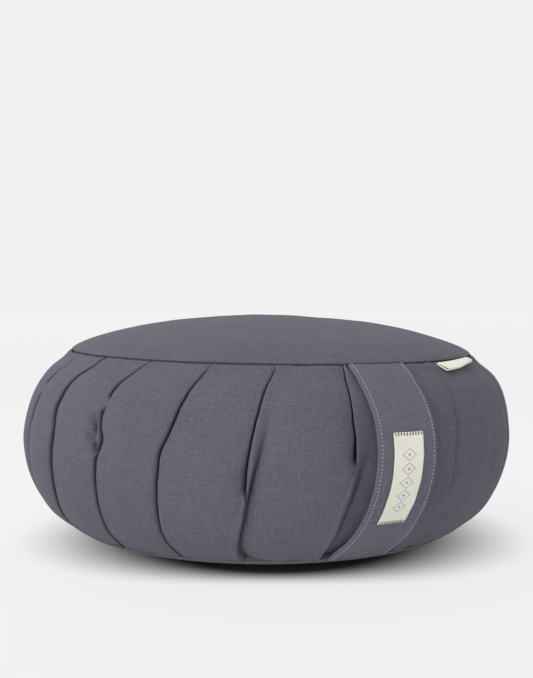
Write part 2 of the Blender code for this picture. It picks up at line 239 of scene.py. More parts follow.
def wall_distance(t):
    """Distance down the wall from the top seam to wall position t."""
    place = min(max(t / WALL_END, 0.0), 1.0) * WALL_SAMPLES
    index = min(int(place), WALL_SAMPLES - 1)
    return WALL_LENGTHS[index] + (WALL_LENGTHS[index + 1] - WALL_LENGTHS[index]) * (place - index)


def along(values, share):
    """Value at a share of the way through evenly spaced values, without kinks."""
    spans = len(values) - 1
    place = min(max(share, 0.0), 1.0) * spans
    index = min(int(place), spans - 1)
    part = place - index
    first = values[index]
    second = values[index + 1]
    before = values[index - 1] if index > 0 else 2.0 * first - second
    after = values[index + 2] if index + 2 <= spans else 2.0 * second - first
    slope_in = (second - before) / 2.0
    slope_out = (after - first) / 2.0
    rest = second - first
    return first + part * (slope_in + part * (3.0 * rest - 2.0 * slope_in - slope_out
                                              + part * (slope_in + slope_out - 2.0 * rest)))


def pleat_table():
    """List every pleat in order of azimuth: those listed one by one, then those evenly round the back."""
    pleats = [{**dict(zip(PLEAT_COLUMNS, row)), **NO_EVENTS, **row[-1]} for row in PLEAT_ROWS]
    first = pleats[0]["path"]
    last = pleats[-1]["path"]
    for number in range(1, BACK_PLEATS + 1):
        share = number / (BACK_PLEATS + 1)
        variation = BACK_PLEAT_VARIATION * math.sin(2.4 * number)
        path = [low + (high + 360.0 - low) * share + variation for low, high in zip(last, first)]
        path[2] -= variation
        pleats.append({"path": path, "depth": 1.0, "reach": 1.4, "dark": 0.0028, **NO_EVENTS})
    return pleats


PLEATS = pleat_table()
CREASES = [dict(zip(CREASE_COLUMNS, row)) for row in CREASE_ROWS]


# ---------------------------------------------------------------- properties a user would change
def length_setting(name, description, default, low, high):
    """A length in metres that a user may set from low to high."""
    return FloatProperty(
        name=name, description=description, default=default, min=low, max=high, unit="LENGTH")


def colour_setting(name, description, *levels):
    """A colour that a user may set."""
    return FloatVectorProperty(
        name=name, description=description, subtype="COLOR", size=4, default=(*levels, 1.0),
        min=0.0, max=1.0)


def level_setting(name, description, default):
    """A plain number that a user may set."""
    return FloatProperty(name=name, description=description, default=default)


class ZafuPleatSettings(bpy.types.PropertyGroup):
    """Folds of the pleated wall."""

    seam_step: length_setting(
        "Step at the top", "Depth of the gap beside a folded edge at the top seam", 0.0032, 0.0015, 0.006)
    low_step: length_setting(
        "Step lower down", "Depth of the narrow gap beside a folded edge lower down", 0.0040, 0.0015, 0.006)
    gap_width: length_setting(
        "Gap width", "Width of the narrow gap beside a folded edge", 0.0013, 0.0005, 0.004)
    hollow: length_setting(
        "Hollow", "Depth of the soft hollow beside a folded edge lower down", 0.0032, 0.0, 0.006)
    overlap: length_setting(
        "Overlap", "How far the cloth runs back under a folded edge", 0.0060, 0.002, 0.012)
    edge_radius: length_setting("Edge radius", "Radius of a folded edge", 0.0007, 0.0004, 0.0015)
    swell: length_setting("Swell", "How far the cloth between two pleats bulges out", 0.0016, 0.0, 0.004)
    wrinkle: length_setting(
        "Wrinkle height", "Height of the soft unevenness in the cloth", 0.0007, 0.0, 0.003)
    rows: IntProperty(
        name="Rows", description="Rows of faces down the wall", default=132, min=24, max=160)


class ZafuStrapSettings(bpy.types.PropertyGroup):
    """Carry strap, its label and their stitches."""

    width: length_setting("Width", "Width of the strap", 0.042, 0.02, 0.06)
    thickness: length_setting("Thickness", "Thickness of the strap's folded cloth", 0.0022, 0.001, 0.004)
    stand_off: length_setting(
        "Stand off", "How far the strap stands off the wall at its middle", 0.0184, 0.004, 0.03)
    start: length_setting("Start", "Sideways place where its upper end is sewn in", 0.0004, -0.02, 0.02)
    lean: length_setting(
        "Lean", "How far its lower end is sewn in to the left of its upper end", 0.0080, -0.02, 0.02)
    stitch_inset: length_setting(
        "Stitch inset", "Distance of the topstitching from the strap's edge", 0.0026, 0.001, 0.008)
    stitch_pitch: length_setting(
        "Stitch pitch", "Distance from one topstitch to the next", 0.0024, 0.0015, 0.006)
    stitch_length: length_setting(
        "Stitch length", "Length of one topstitch that shows", 0.0014, 0.001, 0.005)
    thread_radius: length_setting("Thread radius", "Radius of the sewing thread", 0.00030, 0.0001, 0.0006)


class ZafuClothSettings(bpy.types.PropertyGroup):
    """Colours and weave of the cloth."""

    canvas: colour_setting("Canvas", "Colour of the cushion's canvas", 0.0885, 0.0872, 0.1130)
    cream: colour_setting("Cream tape", "Colour of the label and the tab", 0.665, 0.645, 0.565)
    motif: colour_setting("Motif", "Colour of the motif woven into the label", 0.20, 0.27, 0.35)
    light_thread: colour_setting("Light thread", "Colour of the strap's topstitching", 0.30, 0.31, 0.36)
    dark_thread: colour_setting(
        "Dark thread", "Colour of the stitches across the label's ends", 0.014, 0.014, 0.020)
    thread_pitch: length_setting(
        "Thread pitch", "Distance between two threads of the canvas", 0.00062, 0.0003, 0.002)


class ZafuStageSettings(bpy.types.PropertyGroup):
    """Floor, lights and camera."""

    camera_azimuth: FloatProperty(
        name="Camera azimuth", description="Direction of the camera, round to the left of the strap",
        default=math.radians(26.5), subtype="ANGLE")
    camera_distance: FloatProperty(
        name="Camera distance", description="Distance of the camera from the cushion's middle",
        default=0.820, unit="LENGTH")
    camera_height: FloatProperty(
        name="Camera height", description="Height of the camera above the floor",
        default=0.1885, unit="LENGTH")
    camera_pitch: FloatProperty(
        name="Camera pitch", description="How far the camera looks down", default=0.051, subtype="ANGLE")
    camera_lens: level_setting("Lens", "Focal length on a 36 mm frame", 57.2)
    floor_colour: colour_setting("Floor", "Colour of the floor", 0.07, 0.07, 0.07)
    # The floor glows with painted light of this strength, though it is no lamp.
    floor_glow: level_setting("Floor glow", "Light that comes up through the table top", 0.785)
    surround: level_setting("Surround", "Brightness of the low part of the surround", 0.877)
    overhead: level_setting("Overhead", "Brightness of the surround overhead", 1.68)
    shade_side: level_setting(
        "Shaded side", "Brightness left in the surround on the camera's right", 0.20)


# ---------------------------------------------------------------- meshes
SHARP_ANGLE = math.radians(60.0)


def lofted_grid(columns, rows, place, measure, closed=False, shade=None):
    """Shape a grid into a sheet: place, measure and shade give each point's place, coordinates and painted
    shade.
    """
    builder = bmesh.new()
    uv_layer = builder.loops.layers.uv.new("cloth")
    shade_layer = builder.loops.layers.uv.new("shade") if shade else None
    bmesh.ops.create_grid(builder, x_segments=columns, y_segments=rows, size=1.0)
    indices = {}
    for vertex in builder.verts:
        column = round((vertex.co.x + 1.0) / 2.0 * columns)
        row = round((1.0 - vertex.co.y) / 2.0 * rows)
        indices[vertex] = (column, row)
    for face in builder.faces:
        for loop in face.loops:
            loop[uv_layer].uv = measure(*indices[loop.vert])
            if shade:
                loop[shade_layer].uv = shade(*indices[loop.vert])
    for vertex, (column, row) in indices.items():
        vertex.co = place(column, row)
    if closed:
        seam = [vertex for vertex, (column, row) in indices.items() if column in (0, columns)]
        bmesh.ops.remove_doubles(builder, verts=seam, dist=0.000001)
    return builder


def finished_piece(name, builder, material, node=None, thickness=None):
    """Turn a bmesh into an object on the cushion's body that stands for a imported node, if it has one.

    A one-sided sheet is given its thickness, inwards.
    """
    bmesh.ops.recalc_face_normals(builder, faces=builder.faces)
    mesh = bpy.data.meshes.new(name)
    builder.to_mesh(mesh)
    builder.free()
    mesh.materials.append(material)
    mesh.shade_smooth()
    mesh.set_sharp_from_angle(angle=SHARP_ANGLE)
    piece = bpy.data.objects.new(name, mesh)
    bpy.context.scene.collection.objects.link(piece)
    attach(piece, "root")
    if node:
        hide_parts(node)
    if thickness:
        solidify = piece.modifiers.new("thickness", "SOLIDIFY")
        solidify.thickness = thickness
        solidify.offset = -1.0
        solidify.use_rim = True
    return piece


# ---------------------------------------------------------------- pleated wall
# Columns of the wall's mesh from one pleat to the next. They stand at fixed distances from the crease and
# from the folded edge, and closely round a crease that is followed.
VALLEY_STEPS = (0.0, 0.0005, 0.0010, 0.0016, 0.0024, 0.0034, 0.0046, 0.0060, 0.0078, 0.0102)
MIDDLE_SHARES = (0.25, 0.50, 0.75)
EDGE_STEPS = (0.0060, 0.0034, 0.0018, 0.0008, 0.0)
CREASE_STEPS = (
    -0.0120, -0.0090, -0.0066, -0.0047, -0.0032, -0.0020, -0.0011, -0.0004, 0.0003, 0.0009, 0.0016, 0.0027)
CREASE_ROOM = 0.0080
EDGE_TURNS = (35.0, 75.0, 115.0, 155.0)
INNER_TURNS = (45.0, 135.0)

# How much of the wall an event takes up, and small sizes beside the folds, the creases and the seams.
EVENT_SPREAD = 0.045
EDGE_RISE = 0.0003
CREASE_LINE = 0.0008
CREASE_FADE_IN = 2.6
CREASE_FADE_OUT = 6.0
CREASE_SOFT_START = 3.0
GAP_WIDER_LOW = 0.0004
GAP_WIDER_GAPING = 0.0013
HOLLOW_WIDTH = 0.0030
FOLD_ASIDE_LENGTH = 0.07
PUCKER = 0.0008
SEAM_DIP = 0.0002
SEAM_DIP_WIDTH = 0.0030


def column_plan():
    """List the wall's columns: the pleat each belongs to, its part and its place in that part."""
    columns = []
    for number in range(len(PLEATS)):
        following = (number + 1) % len(PLEATS)
        columns += [(number, "valley", step) for step in VALLEY_STEPS]
        columns += [(number, "middle", share) for share in MIDDLE_SHARES]
        if following in FOLLOWED_CREASES:
            columns += [(number, "crease", step) for step in CREASE_STEPS]
        columns += [(number, "edge_side", step) for step in EDGE_STEPS]
        columns += [(number, "edge", angle) for angle in EDGE_TURNS]
        columns += [(number, "return", 0.6)]
        columns += [(number, "inner", angle) for angle in INNER_TURNS]
        columns += [(number, "under", 0.4)]
    return columns


def fold_azimuth(pleat, t):
    """Azimuth of a pleat's folded edge at wall position t."""
    seed = pleat["path"][0]
    wander = 0.30 * wave(7.0 * t, seed, 1.0) + 0.12 * wave(22.0 * t, seed, 5.0)
    kink = pleat["kink"] * bell(t - pleat["kink_at"], EVENT_SPREAD)
    return along(pleat["path"], t) + kink + wander * bulge(t) ** 0.5


def fold_closed(pleat, t):
    """Share of a pleat that is still folded at wall position t: 1 is folded flat and 0 is opened out."""
    closed = 1.0 - smooth_step((t - pleat["opens_at"]) / EVENT_SPREAD + 0.5)
    return closed * smooth_step((abs(t - pleat["broken_at"]) - 0.004) / 0.03)


def crease_share(crease, t):
    """Share of the way down a crease at wall position t."""
    return (t - crease["start"]) / (crease["end"] - crease["start"])


def crease_form(crease, t):
    """Give a crease's azimuth, depth, left-hand width and strength at t, or None off its ends."""
    share = crease_share(crease, t)
    if not 0.0 < share < 1.0:
        return None
    begun = smooth_step(share * CREASE_FADE_IN)
    fade = begun * smooth_step((1.0 - share) * CREASE_FADE_OUT)
    soft = 1.0 + CREASE_SOFT_START * (1.0 - begun)
    return along(crease["path"], share), crease["depth"] * fade, crease["left"] * soft, fade


def crease_lift(azimuth, t, radius):
    """Lift that the creases add at a place on the wall, and how much shade is painted on it there."""
    total = 0.0
    shade = 0.0
    for crease in CREASES:
        found = crease_form(crease, t)
        if not found:
            continue
        path, depth, left, fade = found
        away = math.radians((azimuth - path + 180.0) % 360.0 - 180.0) * radius
        if away > 0.0:
            total -= depth * bell(away, left)
            total += crease["ridge"] * fade * bell(away - 2.2 * left, 1.3 * left)
            # Painted shade along the crease, darkest at its line.
            shade = max(shade, crease["shade"] * fade * bell(away, left))
        else:
            total -= depth * math.exp(-(abs(away / crease["right"]) ** 1.3))
            shade = max(shade, crease["shade"] * fade * bell(away, CREASE_LINE))
    return total, shade


def seam_pucker(azimuth, t):
    """Small ripples where the wall is gathered into its two seams."""
    down = wall_distance(t)
    return PUCKER * wave(azimuth * 0.55, 3.0, 0.0) * (bell(down, 0.012) + bell(WALL_LENGTH - down, 0.014))


def seam_dip(t):
    """How far the wall is pulled in right beside its two seams."""
    down = wall_distance(t)
    return SEAM_DIP * (bell(down, SEAM_DIP_WIDTH) + bell(WALL_LENGTH - down, SEAM_DIP_WIDTH))


def soft_unevenness(azimuth, t, height):
    """Broad unevenness of the filling and long faint wrinkles down the cloth."""
    angle = math.radians(azimuth)
    around = Vector((math.cos(angle), math.sin(angle), 0.0)) * WIDEST_RADIUS
    down = wall_distance(t)
    broad = wave(around.x * 22.0, around.y * 22.0, down * 22.0)
    long_wrinkle = wave(around.x * 85.0, around.y * 85.0, down * 16.0 + 7.0)
    return height * (broad + 0.45 * long_wrinkle) * bulge(t) ** 0.5


class WallSection:
    """Everything about one row of the wall that all its columns share."""

    def __init__(self, t, settings):
        self.t = t
        self.settings = settings
        self.radius, self.height = wall_place(t, 0.0)
        out_radius, out_height = wall_place(t, 0.01)
        self.out = ((out_radius - self.radius) / 0.01, (out_height - self.height) / 0.01)
        self.folds = [fold_azimuth(pleat, t) for pleat in PLEATS]
        self.closed = [fold_closed(pleat, t) for pleat in PLEATS]
        for number, crease_number in FOLLOWED_CREASES.items():
            self.folds[number] += self.side_step(number, CREASES[crease_number])
        self.low = smooth_step((t - 0.2) / 0.45)
        self.bend = bulge(t)

    def side_step(self, number, crease):
        """Degrees that a pleat moves aside, once it has opened out, for the crease that follows it."""
        followed = along(crease["path"], crease_share(crease, self.t))
        wanted = followed + math.degrees(CREASE_ROOM / self.radius)
        moved = smooth_step((self.t - PLEATS[number]["opens_at"]) / FOLD_ASIDE_LENGTH)
        return max(wanted - self.folds[number], 0.0) * moved

    def place(self, azimuth, lift):
        """Point at an azimuth, lift off the wall."""
        return settled(azimuth, self.radius + lift * self.out[0], self.height + lift * self.out[1])

    def gap_depth(self, number):
        """Depth of the narrow gap and of the soft hollow beside a pleat's folded edge."""
        pleat = PLEATS[number]
        closed = self.closed[number]
        narrow = self.settings.seam_step + (self.settings.low_step - self.settings.seam_step) * self.low
        hollow = self.settings.hollow * (0.35 + 0.65 * self.low) * self.bend ** 0.5
        return pleat["depth"] * narrow * (0.04 + 0.96 * closed), pleat["depth"] * hollow * closed

    def valley_lift(self, number, distance):
        """Lift of the cloth at a distance to the left of a folded edge, and how much shade is painted on it
        there.
        """
        narrow, hollow = self.gap_depth(number)
        pleat = PLEATS[number]
        gape = bell(self.t - pleat["gapes_at"], EVENT_SPREAD)
        narrow_width = self.settings.gap_width * pleat["reach"] + GAP_WIDER_LOW * self.low
        gap = bell(distance, narrow_width + GAP_WIDER_GAPING * gape)
        hollow_width = HOLLOW_WIDTH + HOLLOW_WIDTH * self.low
        # Painted shade: the cloth beside the folded edge is painted dark out to this reach.
        reach = pleat["dark"] * (0.4 + 0.6 * self.closed[number]) * (
            0.60 + 0.40 * smooth_step(self.t / 0.40) + 0.35 * smooth_step((self.t - 0.70) / 0.20))
        dark = 1.0 - smooth_step(distance / reach / 0.5 - 1.5)
        return -narrow * gap - hollow * math.exp(-((distance / hollow_width) ** 1.2)), dark

    def panel(self, number, distance, width):
        """Azimuth, lift and painted shade of the cloth between two pleats, a distance from its right-hand
        fold.
        """
        following = (number + 1) % len(PLEATS)
        azimuth = self.folds[number] + math.degrees(distance / self.radius)
        share = min(max(distance / width, 0.0), 1.0)
        swell = self.settings.swell * self.bend * math.sin(math.pi * share) ** 0.8
        rim = EDGE_RISE * self.closed[following] * bell(width - distance, 0.0022)
        lift, dark = self.valley_lift(number, distance)
        return azimuth, swell + rim + lift, dark * self.closed[number]

    def column(self, number, part, amount):
        """Azimuth, lift and painted shade of one column of the wall; the painted shade is 1 deep inside a
        fold.
        """
        following = (number + 1) % len(PLEATS)
        turn = 360.0 if following == 0 else 0.0
        width = math.radians(self.folds[following] + turn - self.folds[number]) * self.radius
        room = 1.0
        if following in FOLLOWED_CREASES:
            crease = CREASES[FOLLOWED_CREASES[following]]
            followed = along(crease["path"], crease_share(crease, self.t))
            followed = math.radians(followed - self.folds[number]) * self.radius
            room = min((width - followed) / CREASE_ROOM, 1.0)
            inner_end = followed + CREASE_STEPS[0]
        else:
            inner_end = width - EDGE_STEPS[0]
        if part == "valley":
            return self.panel(number, amount, width)
        if part == "middle":
            start = VALLEY_STEPS[-1]
            return self.panel(number, start + (inner_end - start) * amount, width)
        if part == "crease":
            return self.panel(number, followed + amount * (room if amount > 0.0 else 1.0), width)
        if part == "edge_side":
            return self.panel(number, width - amount * room, width)
        narrow, hollow = self.gap_depth(following)
        depth = narrow + hollow
        closed = self.closed[following]
        rim = EDGE_RISE * closed
        edge = min(self.settings.edge_radius * (0.1 + 0.9 * closed), 0.42 * depth)
        inner = max(depth / 2.0 - edge, 0.00004)
        overlap = self.settings.overlap * max(closed, 0.02)
        fold = self.folds[number] + math.degrees(width / self.radius)
        # Painted shade: the cloth that runs back under a folded edge is painted dark, the rounded edge more
        # so as it turns under.
        shade = 1.0
        if part == "edge":
            angle = math.radians(amount)
            distance = edge * math.sin(angle)
            lift = rim - edge * (1.0 - math.cos(angle))
            shade = smooth_step((amount - 60.0) / 90.0)
        elif part == "return":
            distance = -overlap * amount
            lift = rim * 0.5 - 2.0 * edge
        elif part == "inner":
            angle = math.radians(amount)
            distance = -overlap - inner * math.sin(angle)
            lift = -2.0 * edge - inner * (1.0 - math.cos(angle))
        else:
            distance = -overlap * amount
            lift = -depth
        return fold + math.degrees(distance / self.radius), lift, shade * closed


LIP_RADIUS = 0.0008
LIP_TURNS = (30.0, 60.0, 90.0)
LIP_DROP = 0.0035
COVERED_RINGS = (0.97, 0.80, 0.45, 0.10)
COVERED_INSET = 0.004


def wall_rows(count, settings):
    """List the wall's rows, from the middle of its top to the middle of its base, each with its section."""
    top = WallSection(0.0, settings)
    base = WallSection(WALL_END, settings)
    rows = [("crown", share, top) for share in reversed(COVERED_RINGS)]
    rows += [("drop", -1.0, top)]
    rows += [("lip", -angle, top) for angle in reversed(LIP_TURNS)]
    rows += [
        ("wall", 0.0, WallSection(path_position(WALL_LENGTHS, WALL_LENGTH * number / count), settings))
        for number in range(count + 1)]
    rows += [("lip", angle, base) for angle in LIP_TURNS]
    rows += [("drop", 1.0, base)]
    rows += [("base", share, base) for share in COVERED_RINGS]
    return rows


def under_strap(lift, section, azimuth, strap):
    """Press the wall in where the strap lies on it."""
    x = -section.radius * math.sin(math.radians(azimuth))
    if math.cos(math.radians(azimuth)) < 0.0:
        return lift
    beside = abs(x - strap_middle(section.t, strap)) - strap.width / 2.0
    pressed = strap_lift(section.t, strap) - 0.0005
    if lift <= pressed:
        return lift
    return lift + (pressed - lift) * smooth_step(1.0 - beside / 0.0015)


def wall_point(row, column, column_count, plan, settings, strap):
    """Place one grid point of the wall; rows past a seam turn in and run under the panels."""
    kind, amount, section = row
    even_azimuth = PLEATS[0]["path"][0] + 360.0 * column / column_count
    if kind == "crown":
        return settled(
            even_azimuth, TOP_SEAM_RADIUS * amount - COVERED_INSET, crown_height(amount) - COVERED_INSET)
    if kind == "base":
        return settled(
            even_azimuth, BOTTOM_SEAM_RADIUS * amount - COVERED_INSET, COVERED_INSET + base_rise(amount))
    azimuth, lift, _ = section.column(*plan[column % column_count])
    lift += crease_lift(azimuth, section.t, section.radius)[0]
    lift += seam_pucker(azimuth, section.t) + soft_unevenness(azimuth, section.t, settings.wrinkle)
    lift = under_strap(lift, section, azimuth, strap) - seam_dip(section.t)
    place = section.place(azimuth, lift)
    if kind == "wall":
        return place
    middle = Vector((place.x, place.y, 0.0)).normalized()
    inwards = math.copysign(1.0, amount)
    if kind == "drop":
        return place - middle * LIP_RADIUS + Vector((0.0, 0.0, inwards * LIP_DROP))
    angle = math.radians(abs(amount))
    return place - middle * (LIP_RADIUS * math.sin(angle)) + Vector(
        (0.0, 0.0, inwards * LIP_RADIUS * (1.0 - math.cos(angle))))


def crown_height(share):
    """Height of the top panel's upper face at a share of its radius."""
    rise = CROWN_TOP - TOP_SEAM_HEIGHT
    return TOP_SEAM_HEIGHT + rise * max(1.0 - share * share, 0.0) ** CROWN_POWER


def swept_height(radius):
    """Height of the curve that sweeps up from the flat spot under the cushion."""
    share = max((radius - REST_RADIUS) / (TURN_RADIUS - REST_RADIUS), 0.0)
    return TURN_HEIGHT * share ** BOTTOM_CURVE_POWER


def base_rise(share):
    """Height of the bottom panel's lower face at a share of its radius; it turns up beside its seam."""
    radius = BOTTOM_SEAM_RADIUS * share
    turned = max((radius - TURN_RADIUS) / (BOTTOM_SEAM_RADIUS - TURN_RADIUS), 0.0)
    return swept_height(radius) + (BOTTOM_SEAM_HEIGHT - swept_height(BOTTOM_SEAM_RADIUS)) * turned * turned


def build_wall(settings, strap, material):
    """Make the filled body with its knife pleats."""
    plan = column_plan()
    columns = len(plan)
    rows = wall_rows(settings.rows, settings)
    hidden_rows = len(COVERED_RINGS) + len(LIP_TURNS) + 1
    cloth_width = 2.0 * math.pi * WIDEST_RADIUS

    def place(column, row):
        return wall_point(rows[row], column, columns, plan, settings, strap)

    def measure(column, row):
        section = rows[row][2]
        azimuth = section.column(*plan[column % columns])[0] + 360.0 * (column // columns)
        return (cloth_width * azimuth / 360.0, WALL_LENGTH * (row - hidden_rows) / settings.rows)

    # Painted shade for each point of the wall: in the folds and creases, and along the two seams.
    def shade(column, row):
        kind, _, section = rows[row]
        azimuth, _, folded = section.column(*plan[column % columns])
        creased = crease_lift(azimuth, section.t, section.radius)[1]
        # The rows that turn in at the seams and the wall's last row are painted dark, for the shadow in the
        # seams.
        at_foot = row == hidden_rows + settings.rows
        seam = 1.0 if kind != "wall" or at_foot else 0.0
        return (max(folded, creased, seam), 0.0)

    builder = lofted_grid(columns, len(rows) - 1, place, measure, closed=True, shade=shade)
    rims = [edge for edge in builder.edges if edge.is_boundary]
    bmesh.ops.holes_fill(builder, edges=rims, sides=0)
    piece = finished_piece("cushion_wall", builder, material, "pleated_wall")


# ---------------------------------------------------------------- panels
PANEL_TURNS = 180
PANEL_RINGS = 46
PANEL_CLOTH = 0.0012
PANEL_BROAD, PANEL_FINE, PANEL_RIPPLE = 0.0009, 0.00025, 0.0006


def turned_panel(profile, turns):
    """Spin a profile of (radius, height) pairs, rim first and middle last, into a round sheet."""
    builder = bmesh.new()
    uv_layer = builder.loops.layers.uv.new("cloth")
    vertices = [builder.verts.new((0.0, -radius, height)) for radius, height in profile]
    for upper, lower in zip(vertices, vertices[1:]):
        builder.edges.new((upper, lower))
    bmesh.ops.spin(
        builder, geom=builder.verts[:] + builder.edges[:], cent=(0.0, 0.0, 0.0), axis=(0.0, 0.0, 1.0),
        angle=2.0 * math.pi, steps=turns, use_merge=True)
    bmesh.ops.remove_doubles(builder, verts=builder.verts, dist=0.000001)
    for face in builder.faces:
        for loop in face.loops:
            loop[uv_layer].uv = (loop.vert.co.x, loop.vert.co.y)
    return builder


def panel_unevenness(x, y, azimuth, rim_share):
    """Broad unevenness of a panel, with small ripples close to its seam."""
    ripple = wave(azimuth * 0.5, 11.0, 0.0) * math.exp(-((1.0 - rim_share) / 0.06) ** 2)
    broad, fine = wave(x * 16.0, y * 16.0, 4.0), wave(x * 60.0, y * 60.0, 9.0)
    return PANEL_BROAD * broad + PANEL_FINE * fine + PANEL_RIPPLE * ripple


# Where a panel turns in to its seam: how far inside its rim, and how far past it.
RIM_UNDERCUT = ((0.0016, 0.0034), (0.0010, 0.0008), (0.0003, 0.0002))
RIM_INSET = 0.0006


def build_top_panel(material):
    """Make the crowned round top panel, turned down into the seam at its rim."""
    rim = TOP_SEAM_RADIUS - RIM_INSET
    profile = [(rim - inwards, TOP_SEAM_HEIGHT - down) for inwards, down in RIM_UNDERCUT]
    for number in range(PANEL_RINGS + 1):
        share = math.cos(math.pi / 2.0 * number / PANEL_RINGS)
        profile.append((rim * share, crown_height(share)))
    builder = turned_panel(profile, PANEL_TURNS)
    for vertex in builder.verts:
        x, y, height = vertex.co
        radius = math.hypot(x, y)
        azimuth = math.degrees(math.atan2(-x, -y))
        uneven = panel_unevenness(x, y, azimuth, radius / rim)
        held_at_rim = min(1.0, 6.0 * (1.0 - radius / rim) + 0.3)
        vertex.co = settled(azimuth, radius, height + uneven * held_at_rim)
    piece = finished_piece("top_cloth", builder, material, "top_panel", PANEL_CLOTH)


def build_bottom_panel(material):
    """Make the bottom panel, flat where the cushion rests."""
    rim = BOTTOM_SEAM_RADIUS - RIM_INSET
    profile = [(rim - inwards, BOTTOM_SEAM_HEIGHT + up) for inwards, up in RIM_UNDERCUT]
    shares = [1.0 - 0.06 * number / 10.0 for number in range(10)]
    shares += [0.94 - 0.34 * number / 20.0 for number in range(21)] + [0.45, 0.3, 0.15, 0.0]
    profile += [(rim * share, base_rise(share)) for share in shares]
    builder = turned_panel(profile, PANEL_TURNS)
    piece = finished_piece("bottom_cloth", builder, material, "bottom_panel", PANEL_CLOTH)


# ---------------------------------------------------------------- strap, label, tab
STRAP_STAND_POWER = 3.9
STRAP_STAND_EARLY = 0.90
STRAP_SEAT = -0.0014
STRAP_SHOULDER_LIFT = 0.003
STRAP_SHOULDER_PLACE = 0.125
STRAP_SHOULDER_SPREAD = 0.07
STRAP_SAMPLES = 600
STRAP_GRID = (20, 150)
STRAP_EDGE_SHARE = 0.45
STRAP_WAVE = 0.00055
STRAP_CROSS_WAVE = 0.0003
STITCH_POSITIONS = 900


def strap_middle(t, settings):
    """Sideways place of the strap's centre line."""
    return settings.start - settings.lean * t


def strap_lift(t, settings):
    """How far the strap's inner face stands off the smooth wall at wall position t."""
    bend = max(math.sin(math.pi * t ** STRAP_STAND_EARLY), 0.0)
    shoulder = STRAP_SHOULDER_LIFT * bell(t - STRAP_SHOULDER_PLACE, STRAP_SHOULDER_SPREAD)
    return STRAP_SEAT + shoulder + settings.stand_off * bend ** STRAP_STAND_POWER


def strap_point(t, across, lift, settings):
    """A point on the strap's path, across metres from its centre line and lift off the wall."""
    radius, height = wall_place(t, lift)
    x = across + strap_middle(t, settings)
    return settled(math.degrees(-math.asin(x / radius)), radius, height)


def strap_face(t, settings):
    """How far the strap's outer face stands off the smooth wall at wall position t."""
    return strap_lift(t, settings) + settings.thickness


def strap_positions(settings, count):
    """Wall positions that are evenly spaced along the strap, and the strap's length."""
    lengths = path_lengths(lambda t: wall_place(t, strap_face(t, settings)), STRAP_SAMPLES)
    positions = [path_position(lengths, lengths[-1] * number / count) for number in range(count + 1)]
    return positions, lengths[-1]


def strap_ripple(across, t):
    """Soft waviness of the strap's cloth."""
    long_wave = wave(across * 60.0, t * 7.0, 21.0)
    cross_wave = wave(across * 25.0, t * 22.0, 5.0)
    return (STRAP_WAVE * long_wave + STRAP_CROSS_WAVE * cross_wave) * bulge(t) ** 0.5


def build_strap(settings, material):
    """Make the carry strap with rounded folded edges."""
    across, rows = STRAP_GRID
    positions, length = strap_positions(settings, rows)

    def place(column, row):
        t = positions[row]
        offset = settings.width * (column / across - 0.5)
        return strap_point(t, offset, strap_face(t, settings) + strap_ripple(offset, t), settings)

    def measure(column, row):
        return (settings.width * column / across, length * row / rows)

    builder = lofted_grid(across, rows, place, measure)
    piece = finished_piece("strap_cloth", builder, material, "carry_strap", settings.thickness)
    bevel = piece.modifiers.new("folded edges", "BEVEL")
    bevel.width = settings.thickness * STRAP_EDGE_SHARE
    bevel.segments = 3
    bevel.limit_method = "ANGLE"
    bevel.angle_limit = SHARP_ANGLE


STITCH_SIDES = 6
# The rings of one stitch: share of its length, rise above the cloth and size, both beside its radius.
STITCH_RINGS = (
    (0.0, -0.9, 0.55), (0.16, 0.15, 0.95), (0.5, 0.45, 1.0), (0.84, 0.15, 0.95), (1.0, -0.9, 0.55))
# A stitch runs this far above the cloth it holds.
STITCH_REST = 0.00008


def add_stitch(builder, start, end, outwards, radius):
    """Add one stitch: a short round thread that dips into the cloth at both ends."""
    run = end - start
    across = outwards.cross(run).normalized()
    made = []
    for share, rise, size in STITCH_RINGS:
        centre = start + run * share + outwards * (rise * radius)
        ring = []
        for number in range(STITCH_SIDES):
            angle = 2.0 * math.pi * number / STITCH_SIDES
            offset = across * math.cos(angle) + outwards * math.sin(angle)
            ring.append(builder.verts.new(centre + offset * (radius * size)))
        made.append(ring)
    edges = [[builder.edges.new((ring[n], ring[(n + 1) % STITCH_SIDES])) for n in range(STITCH_SIDES)]
             for ring in made]
    for upper, lower in zip(edges, edges[1:]):
        bmesh.ops.bridge_loops(builder, edges=upper + lower)
    builder.faces.new(made[0])
    builder.faces.new(made[-1])


def build_strap_stitches(settings, material):
    """Make the two rows of topstitching down the strap's edges."""
    positions, length = strap_positions(settings, STITCH_POSITIONS)
    builder = bmesh.new()
    inset = settings.width / 2.0 - settings.stitch_inset
    for row_number, offset in enumerate((-inset, inset)):
        for number in range(int(length / settings.stitch_pitch)):
            begin = (number + 0.35 * row_number) * settings.stitch_pitch
            finish = begin + settings.stitch_length
            if finish > length - 0.001:
                continue
            jitter = 0.00012 * wave(number * 0.9, row_number * 5.0, 2.0)
            ends = []
            # Its lower end comes first, so that t and face are left at its upper end.
            for distance, side in ((finish, 1.0), (begin, -1.0)):
                t = positions[min(int(distance / length * STITCH_POSITIONS), STITCH_POSITIONS)]
                face = strap_face(t, settings)
                lift = face + strap_ripple(offset, t) + STITCH_REST
                ends.append(strap_point(t, offset + jitter * side, lift, settings))
            above = strap_point(t, offset, face + 0.002, settings)
            outwards = (above - strap_point(t, offset, face, settings)).normalized()
            add_stitch(builder, ends[1], ends[0], outwards, settings.thread_radius)
    piece = finished_piece("strap_topstitch", builder, material)


